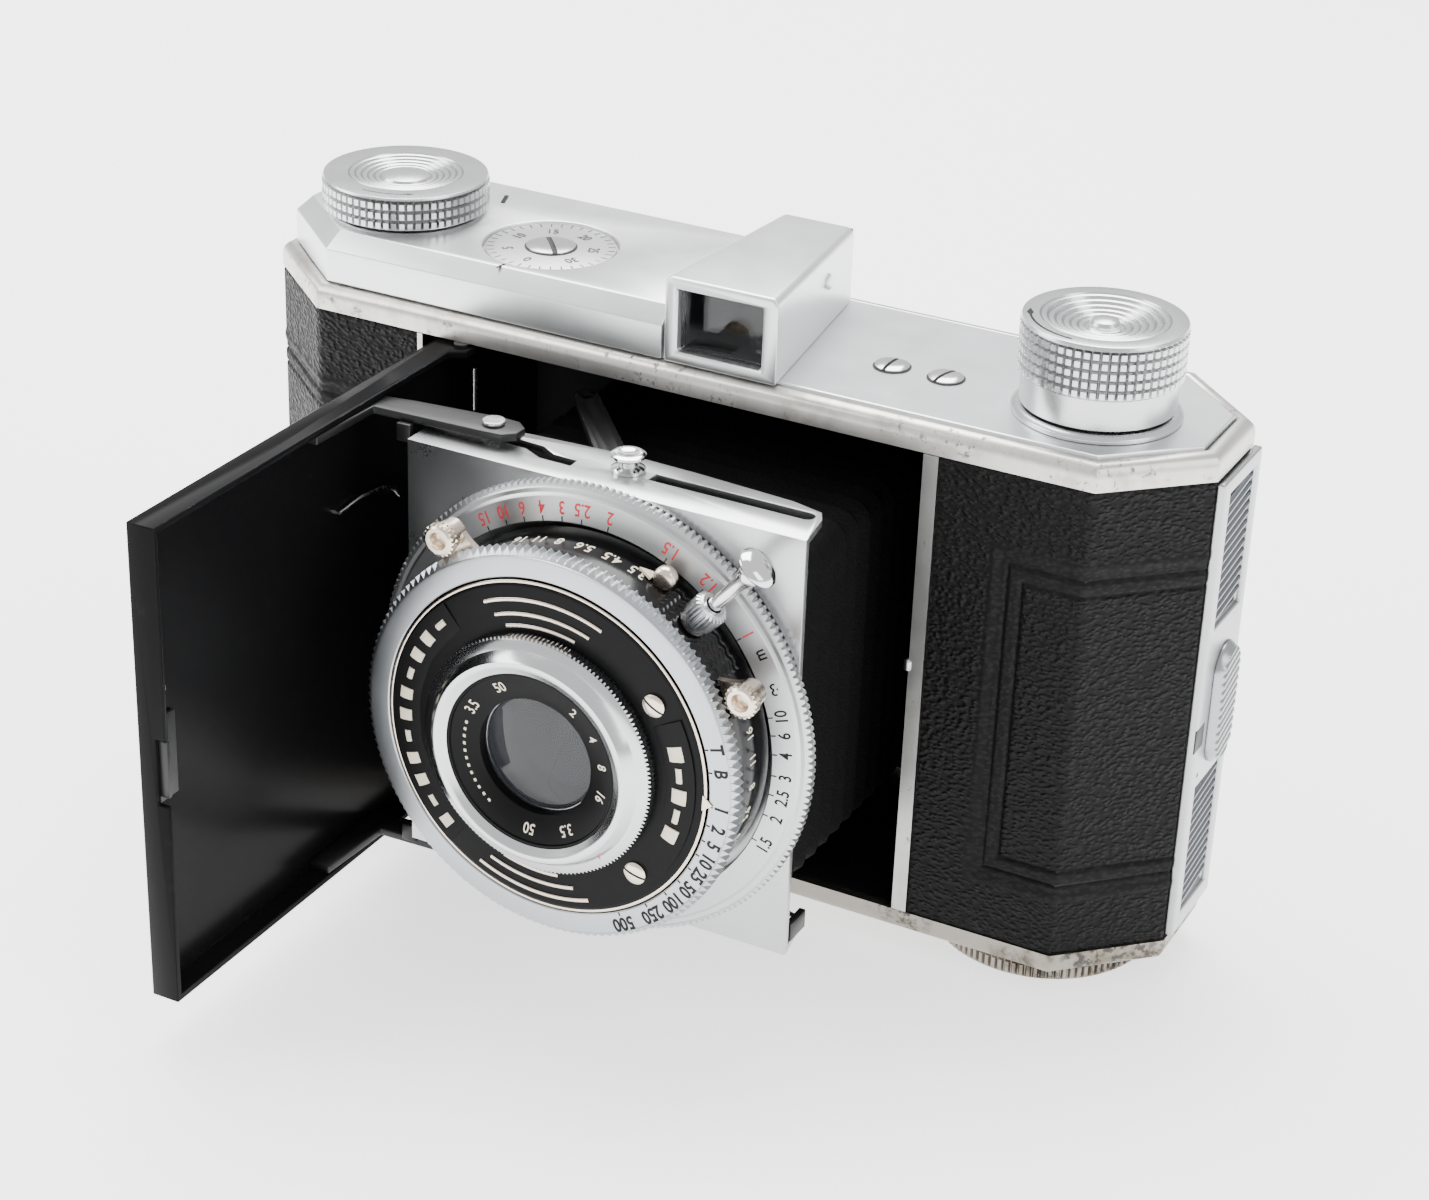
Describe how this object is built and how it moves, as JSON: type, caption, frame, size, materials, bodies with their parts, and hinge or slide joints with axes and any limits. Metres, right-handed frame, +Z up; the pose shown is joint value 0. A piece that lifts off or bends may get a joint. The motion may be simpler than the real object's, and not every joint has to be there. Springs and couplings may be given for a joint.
{
  "type": "folding viewfinder camera",
  "caption": "Folding 35 mm viewfinder camera, front door open, with a leaf shutter lens on a bellows standard, wind and rewind knobs, optical finder and hinged back.",
  "frame": {"origin": "centre of the tripod socket's mouth, on the plane the camera stands on", "axes": "+Z up through the top plate, -Y along the lens towards the subject, +X to the right as seen from the front"},
  "size_m": [0.122, 0.0893, 0.0776],
  "materials": {
    "casting_black": "satin black enamel on a die casting",
    "chrome_plate": "satin chrome, worn at the edges",
    "knob_chrome": "satin chrome with cut knurling",
    "leather": "black pebbled covering",
    "bright_strip": "bare metal strip",
    "black_enamel": "gloss black enamel, worn at the edges",
    "steel": "satin steel",
    "board_chrome": "bright satin chrome",
    "nickel": "warm nickel",
    "bellows_skin": "matte black folded skin",
    "glass": "coated glass",
    "film_steel": "black film gate",
    "dial": "satin dial with black figures",
    "blade_steel": "blued steel blades"
  },
  "bodies": {
    "camera_body": {"body_casting": "casting_black", "film_gate": "film_steel", "top_plate": "chrome_plate", "bottom_plate": "chrome_plate", "wind_housing": "chrome_plate", "finder_housing": "chrome_plate", "finder_front_lens": "glass", "finder_eyepiece": "casting_black", "finder_eye_glass": "glass", "leather_front_right": "leather", "leather_front_left": "leather", "opening_strips": "bright_strip", "top_screws": "steel", "tripod_socket": "knob_chrome", "base_foot": "knob_chrome", "rewind_collar": "knob_chrome", "back_hinge_knuckles": "steel", "back_hinge_pin": "steel", "door_hinge_pins": "steel"},
    "winder": {"wind_knob": "knob_chrome", "wind_shaft": "steel", "takeup_spool": "casting_black"},
    "counter": {"counter_dial": "dial", "counter_screw": "steel"},
    "rewind_slider": {"rewind_sleeve": "steel"},
    "rewinder": {"rewind_knob": "knob_chrome", "rewind_shaft": "steel"},
    "back_door": {"back_door_shell": "casting_black", "leather_back": "leather", "back_end_plate": "chrome_plate", "pressure_plate": "film_steel"},
    "latch": {"latch_slide": "chrome_plate"},
    "front_door": {"front_door_pan": "black_enamel", "door_leather": "leather", "door_catch": "black_enamel", "door_arms": "black_enamel", "door_rivets": "steel"},
    "standard": {"lens_board": "board_chrome", "board_tab": "black_enamel", "board_studs": "knob_chrome", "bellows": "bellows_skin"},
    "strut_links": {"struts": "black_enamel"},
    "focus": {"focus_ring": "knob_chrome"},
    "shutter": {"shutter_case": "black_enamel", "face_plate": "black_enamel", "face_screws": "nickel", "lens_bezel": "knob_chrome", "name_ring": "black_enamel", "front_element": "glass", "rear_element": "glass", "rear_cell": "black_enamel", "shutter_blades": "blade_steel", "iris_blades": "blade_steel", "cable_socket": "nickel"},
    "speed": {"speed_ring": "knob_chrome"},
    "cocking": {"cocking_lever": "nickel"},
    "release": {"release_lever": "nickel"},
    "aperture": {"aperture_pointer": "nickel"},
    "plunger": {"release_plunger": "knob_chrome"}
  },
  "joints": [
    {"name": "front_door_hinge", "type": "hinge", "parent": "camera_body", "child": "front_door", "pos_m": [-0.07165, -0.01465, 0.0345], "axis": [0, 0, 1], "range_deg": [0, 90]},
    {"name": "standard_travel", "type": "slide", "parent": "camera_body", "child": "standard", "axis": [0, 1, 0], "range_m": [0, 0.04151], "deforming": ["bellows"]},
    {"name": "strut_swing", "type": "hinge", "parent": "standard", "child": "strut_links", "pos_m": [-0.0409, -0.0302, 0.0345], "axis": [0, 0, 1], "range_deg": [0, 50.5]},
    {"name": "focus_turn", "type": "hinge", "parent": "standard", "child": "focus", "pos_m": [-0.0409, -0.0368, 0.0345], "axis": [0, -1, 0], "range_deg": [-30, 52.2]},
    {"name": "lens_travel", "type": "slide", "parent": "standard", "child": "shutter", "axis": [0, -1, 0], "range_m": [-0.00096, 0.00167]},
    {"name": "speed_turn", "type": "hinge", "parent": "shutter", "child": "speed", "pos_m": [-0.0409, -0.0463, 0.0345], "axis": [0, -1, 0], "range_deg": [-18, 61]},
    {"name": "aperture_turn", "type": "hinge", "parent": "shutter", "child": "aperture", "pos_m": [-0.0409, -0.04, 0.0345], "axis": [0, -1, 0], "range_deg": [0, 52]},
    {"name": "cocking_turn", "type": "hinge", "parent": "shutter", "child": "cocking", "pos_m": [-0.0409, -0.0445, 0.0345], "axis": [0, -1, 0], "range_deg": [0, 35]},
    {"name": "release_turn", "type": "hinge", "parent": "shutter", "child": "release", "pos_m": [-0.0409, -0.0434, 0.0345], "axis": [0, -1, 0], "range_deg": [-14, 0], "stiffness_Nm_per_rad": 0.01},
    {"name": "plunger_press", "type": "slide", "parent": "shutter", "child": "plunger", "axis": [-0.6561, 0, -0.7547], "range_m": [0, 0.003], "stiffness_N_per_m": 120},
    {"name": "wind_turn", "type": "hinge", "parent": "camera_body", "child": "winder", "pos_m": [-0.08786, -0.00105, 0.0345], "axis": [0, 0, 1], "continuous": true},
    {"name": "counter_turn", "type": "hinge", "parent": "camera_body", "child": "counter", "pos_m": [-0.0669, -0.0026, 0.0715], "axis": [0, 0, 1], "continuous": true},
    {"name": "rewind_pull", "type": "slide", "parent": "camera_body", "child": "rewind_slider", "axis": [0, 0, 1], "range_m": [0, 0.005]},
    {"name": "rewind_turn", "type": "hinge", "parent": "rewind_slider", "child": "rewinder", "pos_m": [0.001, -0.00105, 0.0345], "axis": [0, 0, 1], "continuous": true},
    {"name": "back_door_hinge", "type": "hinge", "parent": "camera_body", "child": "back_door", "pos_m": [-0.1019, 0.008, 0.0345], "axis": [0, 0, 1], "range_deg": [0, 95]},
    {"name": "latch_travel", "type": "slide", "parent": "back_door", "child": "latch", "axis": [0, 0, 1], "range_m": [0, 0.003], "stiffness_N_per_m": 150}
  ],
  "couplings": [
    {"joint": "standard_travel", "follows": "front_door_hinge", "m_per_rad": 0.02642},
    {"joint": "strut_swing", "follows": "front_door_hinge", "ratio": 0.56},
    {"joint": "focus_turn", "follows": "lens_travel", "rad_per_m": 543.48},
    {"joint": "counter_turn", "follows": "wind_turn", "ratio": 0.0347}
  ]
}
